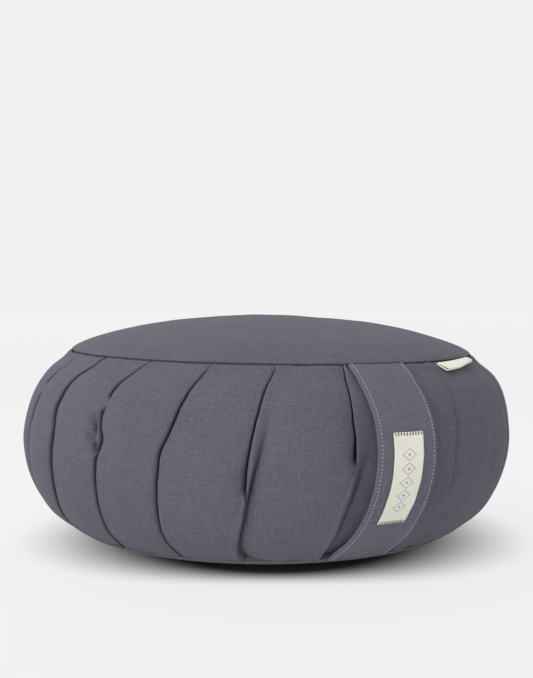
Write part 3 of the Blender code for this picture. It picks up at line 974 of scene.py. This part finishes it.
LABEL_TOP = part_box("strap_label")[1][2]
LABEL_WIDTH = 0.0204
LABEL_LENGTH = 0.0622
LABEL_RISE = -0.0004
LABEL_SHIFT = -0.0007
LABEL_SKEW = -0.0009
LABEL_TAPER = 0.07
LABEL_THICKNESS = 0.0009
LABEL_GRID = (24, 96)
LABEL_TOOTH = 0.00012
LABEL_WANDER = 0.0004
LABEL_CURL = 0.0004
LABEL_STITCHES = 10
LABEL_THREAD_RADIUS = 0.00036


def label_span(settings):
    """Distances along the strap of the label's upper and lower end."""
    positions, length = strap_positions(settings, STITCH_POSITIONS)
    for number, t in enumerate(positions):
        if wall_place(t, strap_face(t, settings))[1] < LABEL_TOP + LABEL_RISE:
            begin = length * number / STITCH_POSITIONS
            return begin, begin + LABEL_LENGTH, positions, length
    raise RuntimeError("the label's upper end is not on the strap")


def label_point(share, across, lift, span, settings):
    """A point on the label: share of the way down, across from its middle and lift off the strap."""
    begin, end, positions, length = span
    distance = begin + (end - begin) * share
    place = distance / length * (len(positions) - 1)
    index = min(int(place), len(positions) - 2)
    t = positions[index] + (positions[index + 1] - positions[index]) * (place - index)
    offset = across + LABEL_SHIFT + LABEL_SKEW * share
    return strap_point(t, offset, strap_face(t, settings) + strap_ripple(offset, t) + lift, settings)


def build_label(settings, material):
    """Make the woven label, with its slightly uneven woven edges."""
    across, rows = LABEL_GRID
    span = label_span(settings)

    def place(column, row):
        share = row / rows
        side = 2.0 * column / across - 1.0
        tooth = LABEL_TOOTH * (1.0 if row % 2 else -1.0) * (1.0 if abs(side) > 0.99 else 0.0)
        wander = LABEL_WANDER * wave(share * 5.0, 2.0 * side, 31.0)
        half_width = LABEL_WIDTH / 2.0 * (1.0 - LABEL_TAPER * share)
        offset = side * (half_width + tooth) + wander * abs(side)
        curl = LABEL_CURL * abs(side) ** 6 * (0.5 + wave(share * 6.0, side, 3.0))
        return label_point(share, offset, LABEL_THICKNESS + GAP + curl, span, settings)

    def measure(column, row):
        return (LABEL_WIDTH * column / across, LABEL_LENGTH * row / rows)

    builder = lofted_grid(across, rows, place, measure)
    piece = finished_piece("woven_label", builder, material, "strap_label", LABEL_THICKNESS)


def build_label_stitches(settings, material):
    """Make the row of short dark stitches across each end of the label."""
    span = label_span(settings)
    builder = bmesh.new()
    for end, inwards in ((0.0, 1.0), (1.0, -1.0)):
        for number in range(LABEL_STITCHES):
            across = LABEL_WIDTH * (1.0 - LABEL_TAPER * end) * ((number + 0.5) / LABEL_STITCHES - 0.5)
            jitter = 0.25 * wave(number * 1.7, end * 9.0, 6.0)
            outer = end - inwards * (0.004 + 0.006 * jitter)
            inner = end + inwards * (0.040 + 0.014 * jitter)
            lift = LABEL_THICKNESS + GAP + STITCH_REST
            start = label_point(outer, across, lift - 0.0003, span, settings)
            finish = label_point(inner, across + 0.0003 * jitter, lift, span, settings)
            above = label_point(inner, across, lift + 0.002, span, settings)
            add_stitch(builder, start, finish, (above - finish).normalized(), LABEL_THREAD_RADIUS)
    piece = finished_piece("label_stitches", builder, material)


TAB_AZIMUTH = -29.0
TAB_LENGTH = 0.0485
TAB_DEPTH = 0.0080
TAB_LEAN = 1.1
TAB_LAYER = 0.0006
TAB_LOOP = 0.0013
# Distance from the seam to the middle of the tab's inner edge, how it slopes, and how the tape hangs.
TAB_START = 0.0020
TAB_START_SLOPE = 0.0010
TAB_LIFT = 0.0006
TAB_BOW = 0.0006
TAB_DROOP = 0.0005
TAB_CORNER_DROOP = 0.0007


def build_tab(material):
    """Make the folded tab: one strip of tape caught in the seam, turned over at its outer edge."""
    fold_steps, flat_steps, columns = 12, 10, 40
    half_angle = math.degrees(TAB_LENGTH / 2.0 / TOP_SEAM_RADIUS)
    straight = TAB_DEPTH - TAB_LOOP / 2.0
    fold_length = math.pi * TAB_LOOP / 2.0
    path = []
    for number in range(flat_steps):
        reach = straight * number / flat_steps
        path.append((reach, 0.0, reach))
    for number in range(fold_steps + 1):
        angle = math.pi * number / fold_steps
        reach = straight + TAB_LOOP / 2.0 * math.sin(angle)
        rise = TAB_LOOP / 2.0 * (1.0 - math.cos(angle))
        path.append((reach, rise, straight + fold_length * number / fold_steps))
    for number in range(1, flat_steps + 1):
        reach = straight * (1.0 - number / flat_steps)
        path.append((reach, TAB_LOOP, straight * (1.0 + number / flat_steps) + fold_length))

    def place(column, row):
        reach, rise, _ = path[row]
        share = 2.0 * column / columns - 1.0
        out = reach / TAB_DEPTH
        down = TAB_START - TAB_START_SLOPE * share + reach * (1.0 - 0.36 * smooth_step((share + 1.0) / 2.0))
        bow = TAB_BOW * math.sin(4.0 * share + 0.8) * out
        droop = TAB_DROOP * out * out + TAB_CORNER_DROOP * smooth_step(-share) * out
        pinch = 1.0 - 0.9 * (1.0 - out) ** 2
        lift = GAP + TAB_LIFT * out + max(bow, 0.0) + droop + rise * pinch + TAB_LAYER
        rounding = 0.12 * out ** 2 * smooth_step(share)
        azimuth = TAB_AZIMUTH - half_angle * share * (1.0 - 0.04 * out - rounding) - TAB_LEAN * out
        return settled(azimuth, *wall_place(path_position(WALL_LENGTHS, down), lift))

    def measure(column, row):
        return (TAB_LENGTH * column / columns, path[row][2])

    builder = lofted_grid(columns, len(path) - 1, place, measure)
    piece = finished_piece("folded_tab", builder, material, "seam_tab", TAB_LAYER)


# ---------------------------------------------------------------- shaders
class Value:
    """A number in a node tree, with arithmetic that adds Math nodes."""

    def __init__(self, shader, socket):
        self.shader = shader
        self.socket = socket

    def math(self, operation, *others):
        """Add one Math node that starts with this value."""
        return self.shader.node("ShaderNodeMath", {"operation": operation}, (self, *others))

    def __add__(self, other):
        return self.math("ADD", other)

    __radd__ = __add__

    def __sub__(self, other):
        return self.math("SUBTRACT", other)

    def __rsub__(self, other):
        return self.shader.node("ShaderNodeMath", {"operation": "SUBTRACT"}, (other, self))

    def __mul__(self, other):
        return self.math("MULTIPLY", other)

    __rmul__ = __mul__

    def __truediv__(self, other):
        return self.math("DIVIDE", other)

    def __abs__(self):
        return self.math("ABSOLUTE")

    def sine(self):
        """Sine of the value, in radians."""
        return self.math("SINE")

    def root(self):
        """Square root of the value."""
        return self.math("SQRT")

    def above(self, threshold):
        """1 where the value is over the threshold."""
        return self.math("GREATER_THAN", threshold)

    def clamped(self):
        """Keep the value from 0 to 1."""
        return self.shader.node("ShaderNodeClamp", {}, (self, 0.0, 1.0))


class Nodes:
    """A node tree, built by calls."""

    def __init__(self, tree):
        self.tree = tree

    def node(self, kind, settings, values, output=0):
        """Add a node: its settings first, then its inputs, given in order or by name."""
        made = self.tree.nodes.new(kind)
        for name, setting in settings.items():
            setattr(made, name, setting)
        named = values.items() if isinstance(values, dict) else enumerate(values)
        for key, value in named:
            self.feed(made, key, value)
        return Value(self, made.outputs[output])

    def feed(self, made, key, value):
        """Give one input of a node a plain value or another node's value."""
        if isinstance(value, Value):
            self.tree.links.new(value.socket, made.inputs[key])
        else:
            made.inputs[key].default_value = value

    def part(self, vector, axis):
        """Take one number out of a vector."""
        return self.node("ShaderNodeSeparateXYZ", {}, (vector,), axis)

    def grey(self, level):
        """A grey colour of a brightness."""
        return self.node("ShaderNodeCombineColor", {}, (level, level, level))

    def place(self, x, y, z=0.0):
        """Combine three numbers into a vector."""
        return self.node("ShaderNodeCombineXYZ", {}, (x, y, z))

    def parts(self, vector):
        """Take a vector apart into three numbers."""
        return [self.part(vector, axis) for axis in "XYZ"]

    def eased(self, value, low, high):
        """0 up to the low value, 1 from the high value and smooth between them."""
        return self.node(
            "ShaderNodeMapRange", {"interpolation_type": "SMOOTHSTEP"},
            {"Value": value, "From Min": low, "From Max": high, "To Min": 0.0, "To Max": 1.0})

    def mix(self, factor, first, second):
        """Mix two colours."""
        return self.node(
            "ShaderNodeMix", {"data_type": "RGBA"}, {0: factor, 6: first, 7: second}, 2)


class Shader(Nodes):
    """A material's node tree, built by calls."""

    def __init__(self, name):
        self.material = bpy.data.materials.new(name)
        self.material.use_nodes = True
        super().__init__(self.material.node_tree)
        self.surface = self.tree.nodes["Principled BSDF"]

    def cloth_coordinates(self):
        """The piece's own cloth coordinates, in metres across and along."""
        uv = self.node("ShaderNodeUVMap", {"uv_map": "cloth"}, ())
        return self.part(uv, "X"), self.part(uv, "Y")

    def object_place(self):
        """The place on the piece, in metres."""
        return self.node("ShaderNodeTexCoord", {}, (), "Object")

    def noise(self, vector, scale, detail=2.0, roughness=0.5):
        """Noise from 0 to 1."""
        return self.node("ShaderNodeTexNoise", {}, {
            "Vector": vector, "Scale": scale, "Detail": detail, "Roughness": roughness})

    def shaded(self, colour, amount):
        """Multiply a colour by a number that varies."""
        return self.node(
            "ShaderNodeMix", {"data_type": "RGBA", "blend_type": "MULTIPLY"},
            {0: 1.0, 6: colour, 7: self.grey(amount)}, 2)

    def finish(self, colour, roughness, height=None, bump_distance=0.0003, bump_strength=0.6, sheen=0.0):
        """Feed the surface."""
        looks = {
            "Base Color": colour, "Roughness": roughness, "Specular IOR Level": 0.25, "Sheen Weight": sheen,
            "Sheen Roughness": 0.45}
        if height is not None:
            looks["Normal"] = self.node("ShaderNodeBump", {}, {
                "Strength": bump_strength, "Distance": bump_distance, "Height": height})
        for key, value in looks.items():
            self.feed(self.surface, key, value)
        return self.material


def weave_height(shader, across, along, pitch):
    """Plain weave: threads over and under each other, from 0 to 1."""
    turn = math.pi / pitch
    warp = (across * turn).sine()
    weft = (along * turn).sine()
    over = warp * weft * 0.5 + 0.5
    return abs(warp) * over + abs(weft) * (1.0 - over)


# How much each part of the canvas and of the tape changes its brightness.
CANVAS_BASE, CANVAS_WEAVE, CANVAS_SLUB, CANVAS_MOTTLE, CANVAS_FLECK = 0.93, 0.05, 0.40, 0.16, 0.80
TAPE_BASE, TAPE_WEAVE, TAPE_SLUB, TAPE_STAIN = 0.90, 0.08, 0.16, 0.05
# FOLD_SHADE is how much brightness the painted shade takes away, deepest in a fold, crease or seam.
FOLD_SHADE = 0.82
STRAP_SHADE = 1.14
TAB_LIGHT = 1.18
TAPE_PITCH = 0.00048
# Noise scales along and across a thread that make its thick and thin places.
SLUB_ALONG, SLUB_ACROSS = 60.0, 900.0


def canvas_material(name, cloth, folded=False, shade=1.0):
    """Matt cotton canvas: plain weave, slubs along both threads and a faint mottle, with shade painted
    inside folds.
    """
    shader = Shader(name)
    across, along = shader.cloth_coordinates()
    weave = weave_height(shader, across, along, cloth.thread_pitch)
    warp_slub = shader.noise(shader.place(across * SLUB_ACROSS, along * SLUB_ALONG), 1.0)
    weft_slub = shader.noise(shader.place(across * SLUB_ALONG, along * SLUB_ACROSS), 1.0)
    mottle = shader.noise(shader.object_place(), 26.0, 3.0, 0.6)
    fleck = shader.noise(shader.object_place(), 700.0, 2.0, 0.75)
    tone = CANVAS_BASE * shade + CANVAS_WEAVE * weave
    tone = tone + (warp_slub - 0.5) * CANVAS_SLUB + (weft_slub - 0.5) * CANVAS_SLUB
    tone = tone + (mottle - 0.5) * CANVAS_MOTTLE + (fleck - 0.5) * CANVAS_FLECK
    if folded:
        # Painted shade from the shade map darkens the canvas in the wall's folds, creases and seams.
        uv = shader.node("ShaderNodeUVMap", {"uv_map": "shade"}, ())
        tone = tone * (1.0 - shader.part(uv, "X") * FOLD_SHADE)
    colour = shader.shaded(cloth.canvas, tone)
    roughness = 0.97 - 0.10 * weave
    height = weave * 0.7 + warp_slub * 0.6 + weft_slub * 0.6
    return shader.finish(colour, roughness, height, 0.00020, 0.5, sheen=0.04)


MOTIF_REPEATS = 5
MOTIF_CELL = 0.0086
MOTIF_SIZE = 0.0037
MOTIF_SLENDERNESS = 0.80
MOTIF_LINE = 0.00036
MOTIF_HEART = 0.0011
MOTIF_STRENGTH = 0.8


def cream_material(name, cloth, with_motif, light=1.0):
    """Cream woven tape with fine ribs, and a chain of small lozenges where it has a motif."""
    shader = Shader(name)
    across, along = shader.cloth_coordinates()
    weave = weave_height(shader, across, along, TAPE_PITCH)
    slub = shader.noise(shader.place(across * 260.0, along * 1400.0), 1.0)
    stain = shader.noise(shader.object_place(), 90.0)
    tone = TAPE_BASE * light + TAPE_WEAVE * weave + (slub - 0.5) * TAPE_SLUB + (stain - 0.5) * TAPE_STAIN
    colour = shader.shaded(cloth.cream, tone)
    if with_motif:
        start = (LABEL_LENGTH - MOTIF_REPEATS * MOTIF_CELL) / 2.0
        middle = abs(across - LABEL_WIDTH / 2.0)
        phase = abs(((along - start) / MOTIF_CELL).math("FRACT") - 0.5) * MOTIF_CELL
        lozenge = middle * MOTIF_SLENDERNESS + phase
        line = 1.0 - (abs(lozenge - MOTIF_SIZE) - MOTIF_LINE).above(0.0)
        heart = 1.0 - (lozenge - MOTIF_HEART).above(0.0)
        inside = (along - start).above(0.0) * (1.0 - (along - (LABEL_LENGTH - start)).above(0.0))
        mask = (line + heart).clamped() * inside * MOTIF_STRENGTH
        colour = shader.mix(mask, colour, cloth.motif)
    return shader.finish(colour, 0.9, weave + slub * 0.5, 0.00014, 0.5, sheen=0.1)


def thread_material(name, colour):
    """Twisted sewing thread."""
    shader = Shader(name)
    twist = shader.noise(shader.object_place(), 2600.0, 1.0)
    return shader.finish(shader.shaded(colour, 0.85 + 0.3 * twist), 0.7, twist, 0.00006, 0.4)


# Where the floor's painted glow starts and where it is whole, in front of the cushion and beside it; inside
# it lies the painted shadow round the cushion.
SHADE_INNER = (0.1025, 0.0952)
SHADE_OUTER = (0.1376, 0.2155)
SHADE_OFFSET = 0.0063
SHADE_STRETCH = 0.932
SHADE_FORWARD = 0.0179
SHADE_BEHIND = 0.75
# The floor's painted glow is a little dimmer far away from the cushion.
FLOOR_FADE = (0.25, 1.0)
FLOOR_FADE_DEPTH = 0.042


def floor_material(settings):
    """Pale floor that glows with painted light, except in a painted shadow where the cushion stands on it.
    """
    shader = Shader("pale_floor")
    right = camera_direction(settings, -90.0)
    front = camera_direction(settings, 0.0)
    x, y, _ = shader.parts(shader.object_place())
    away_x = (x * right.x + y * right.y - SHADE_OFFSET) * (1.0 / SHADE_STRETCH)
    towards = x * front.x + y * front.y - SHADE_FORWARD
    away_y = towards.math("MAXIMUM", 0.0) + towards.math("MINIMUM", 0.0) * SHADE_BEHIND
    distance = (away_x * away_x + away_y * away_y).root()
    beside = away_x * away_x / (distance * distance + 0.000001)
    inner = SHADE_INNER[0] + beside * (SHADE_INNER[1] - SHADE_INNER[0])
    outer = SHADE_OUTER[0] + beside * (SHADE_OUTER[1] - SHADE_OUTER[0])
    faded = 1.0 - shader.eased(distance, *FLOOR_FADE) * FLOOR_FADE_DEPTH
    # Painted light and shadow: the floor glows evenly, except in a painted shadow round the cushion and a
    # little less far away.
    level = shader.eased(distance, inner, outer) * faded
    glow = shader.mix(level, (0.0, 0.0, 0.0, 1.0), (1.0, 1.0, 1.0, 1.0))
    shader.feed(shader.surface, "Emission Color", glow)
    shader.feed(shader.surface, "Emission Strength", settings.floor_glow)
    return shader.finish(settings.floor_colour, 0.95)


# ---------------------------------------------------------------- operators
class ZAFU_OT_wall(bpy.types.Operator):
    """Make the filled body with its knife-pleated wall."""

    bl_idname = "zafu.wall"
    bl_label = "Pleated Wall"

    def execute(self, context):
        material = canvas_material("wall_canvas", context.scene.zafu_cloth, folded=True)
        build_wall(context.scene.zafu_pleats, context.scene.zafu_strap, material)
        return {"FINISHED"}


class ZAFU_OT_panels(bpy.types.Operator):
    """Make the round top and bottom panels."""

    bl_idname = "zafu.panels"
    bl_label = "Top and Bottom Panels"

    def execute(self, context):
        material = canvas_material("panel_canvas", context.scene.zafu_cloth)
        build_top_panel(material)
        build_bottom_panel(material)
        return {"FINISHED"}


class ZAFU_OT_strap(bpy.types.Operator):
    """Make the carry strap and its topstitching."""

    bl_idname = "zafu.strap"
    bl_label = "Carry Strap"

    def execute(self, context):
        cloth = context.scene.zafu_cloth
        settings = context.scene.zafu_strap
        build_strap(settings, canvas_material("strap_canvas", cloth, shade=STRAP_SHADE))
        build_strap_stitches(settings, thread_material("light_thread", cloth.light_thread))
        return {"FINISHED"}


class ZAFU_OT_label(bpy.types.Operator):
    """Make the woven label on the strap, and its stitches."""

    bl_idname = "zafu.label"
    bl_label = "Woven Label"

    def execute(self, context):
        cloth = context.scene.zafu_cloth
        settings = context.scene.zafu_strap
        build_label(settings, cream_material("label_tape", cloth, True))
        build_label_stitches(settings, thread_material("dark_thread", cloth.dark_thread))
        return {"FINISHED"}


class ZAFU_OT_tab(bpy.types.Operator):
    """Make the folded tab in the top seam."""

    bl_idname = "zafu.tab"
    bl_label = "Seam Tab"

    def execute(self, context):
        build_tab(cream_material("tab_tape", context.scene.zafu_cloth, False, light=TAB_LIGHT))
        return {"FINISHED"}


class ZAFU_OT_stage(bpy.types.Operator):
    """Make the floor, the lights and the camera."""

    bl_idname = "zafu.stage"
    bl_label = "Stage"

    def execute(self, context):
        settings = context.scene.zafu_stage
        make_floor(settings)
        make_lights(settings)
        make_camera(settings)
        return {"FINISHED"}


FLOOR_HALF_SIZE = 6.0
FLOOR_DROP = 0.0002


def make_floor(settings):
    """A large flat pale floor under the cushion."""
    builder = bmesh.new()
    bmesh.ops.create_grid(builder, x_segments=2, y_segments=2, size=FLOOR_HALF_SIZE)
    mesh = bpy.data.meshes.new("floor")
    builder.to_mesh(mesh)
    builder.free()
    mesh.materials.append(floor_material(settings))
    floor = bpy.data.objects.new("floor", mesh)
    bpy.context.scene.collection.objects.link(floor)
    floor.location = (0.0, 0.0, -FLOOR_DROP)


def camera_direction(settings, azimuth):
    """Unit direction on the floor at an azimuth counted from the camera, positive to its left."""
    angle = settings.camera_azimuth + math.radians(azimuth)
    return Vector((-math.sin(angle), -math.cos(angle), 0.0))


# The key light: azimuth from the camera in degrees, rise beside its run, apparent size, power and colour.
KEY_AZIMUTH = 23.0
KEY_RISE = 0.25
KEY_SIZE = math.radians(50.0)
KEY_POWER = 1.85
KEY_COLOUR = (1.0, 0.99, 0.975)
# Directions between which the surround changes: up for the shade on the right, up for the brightness
# overhead, and towards the right for the shade.
SHADED_ABOVE = (0.28, 0.50)
BRIGHTER_UP = (0.30, 0.95)
SHADED_ASIDE = (-0.05, 0.50)


def make_lights(settings):
    """A large soft key from the left in front, in a pale surround that is darker on the right."""
    towards = camera_direction(settings, KEY_AZIMUTH) + Vector((0.0, 0.0, KEY_RISE))
    data = bpy.data.lights.new("key", "SUN")
    data.angle = KEY_SIZE
    data.energy = KEY_POWER
    data.color = KEY_COLOUR
    key = bpy.data.objects.new("key", data)
    key.rotation_euler = (-towards).to_track_quat("-Z", "Y").to_euler()
    bpy.context.scene.collection.objects.link(key)
    world = bpy.data.worlds.new("surround")
    world.use_nodes = True
    nodes = Nodes(world.node_tree)
    x, y, z = nodes.parts(nodes.node("ShaderNodeTexCoord", {}, (), "Generated"))
    right = camera_direction(settings, -90.0)
    aside = x * right.x + y * right.y
    high = nodes.eased(z, *SHADED_ABOVE)
    bright = settings.surround + nodes.eased(z, *BRIGHTER_UP) * (settings.overhead - settings.surround)
    shade = 1.0 - nodes.eased(aside, *SHADED_ASIDE) * high * (1.0 - settings.shade_side)
    level = bright * shade
    nodes.feed(world.node_tree.nodes["Background"], "Color", nodes.grey(level))
    bpy.context.scene.world = world
    bpy.context.scene.view_settings.view_transform = "Standard"


def make_camera(settings):
    """The camera, a little above the top of the cushion and looking slightly down."""
    data = bpy.data.cameras.new("camera")
    data.sensor_width = 36.0
    data.lens = settings.camera_lens
    data.clip_end = 50.0
    camera = bpy.data.objects.new("camera", data)
    away = camera_direction(settings, 0.0)
    camera.location = away * settings.camera_distance + Vector((0.0, 0.0, settings.camera_height))
    camera.rotation_euler = (
        math.pi / 2.0 - settings.camera_pitch, 0.0, -settings.camera_azimuth)
    bpy.context.scene.collection.objects.link(camera)
    bpy.context.scene.camera = camera


class ZAFU_PT_sidebar(bpy.types.Panel):
    """The cushion's operators in the 3D view's sidebar."""

    bl_label = "Zafu Cushion"
    bl_idname = "ZAFU_PT_sidebar"
    bl_space_type = "VIEW_3D"
    bl_region_type = "UI"
    bl_category = "Zafu"

    def draw(self, context):
        for operator in OPERATORS:
            self.layout.operator(operator.bl_idname)


SETTINGS = {
    "zafu_pleats": ZafuPleatSettings,
    "zafu_strap": ZafuStrapSettings,
    "zafu_cloth": ZafuClothSettings,
    "zafu_stage": ZafuStageSettings,
}
OPERATORS = (ZAFU_OT_wall, ZAFU_OT_panels, ZAFU_OT_strap, ZAFU_OT_label, ZAFU_OT_tab, ZAFU_OT_stage)


def register():
    """Register the settings, the operators and the panel."""
    for name, group in SETTINGS.items():
        bpy.utils.register_class(group)
        setattr(bpy.types.Scene, name, PointerProperty(type=group))
    for operator in OPERATORS:
        bpy.utils.register_class(operator)
    bpy.utils.register_class(ZAFU_PT_sidebar)


def unregister():
    """Take the panel, the operators and the settings away again."""
    bpy.utils.unregister_class(ZAFU_PT_sidebar)
    for operator in reversed(OPERATORS):
        bpy.utils.unregister_class(operator)
    for name, group in SETTINGS.items():
        delattr(bpy.types.Scene, name)
        bpy.utils.unregister_class(group)


def main():
    """Build the cushion and its stage."""
    register()
    bpy.ops.zafu.wall()
    bpy.ops.zafu.panels()
    bpy.ops.zafu.strap()
    bpy.ops.zafu.label()
    bpy.ops.zafu.tab()
    bpy.ops.zafu.stage()


if __name__ == "__main__":
    main()
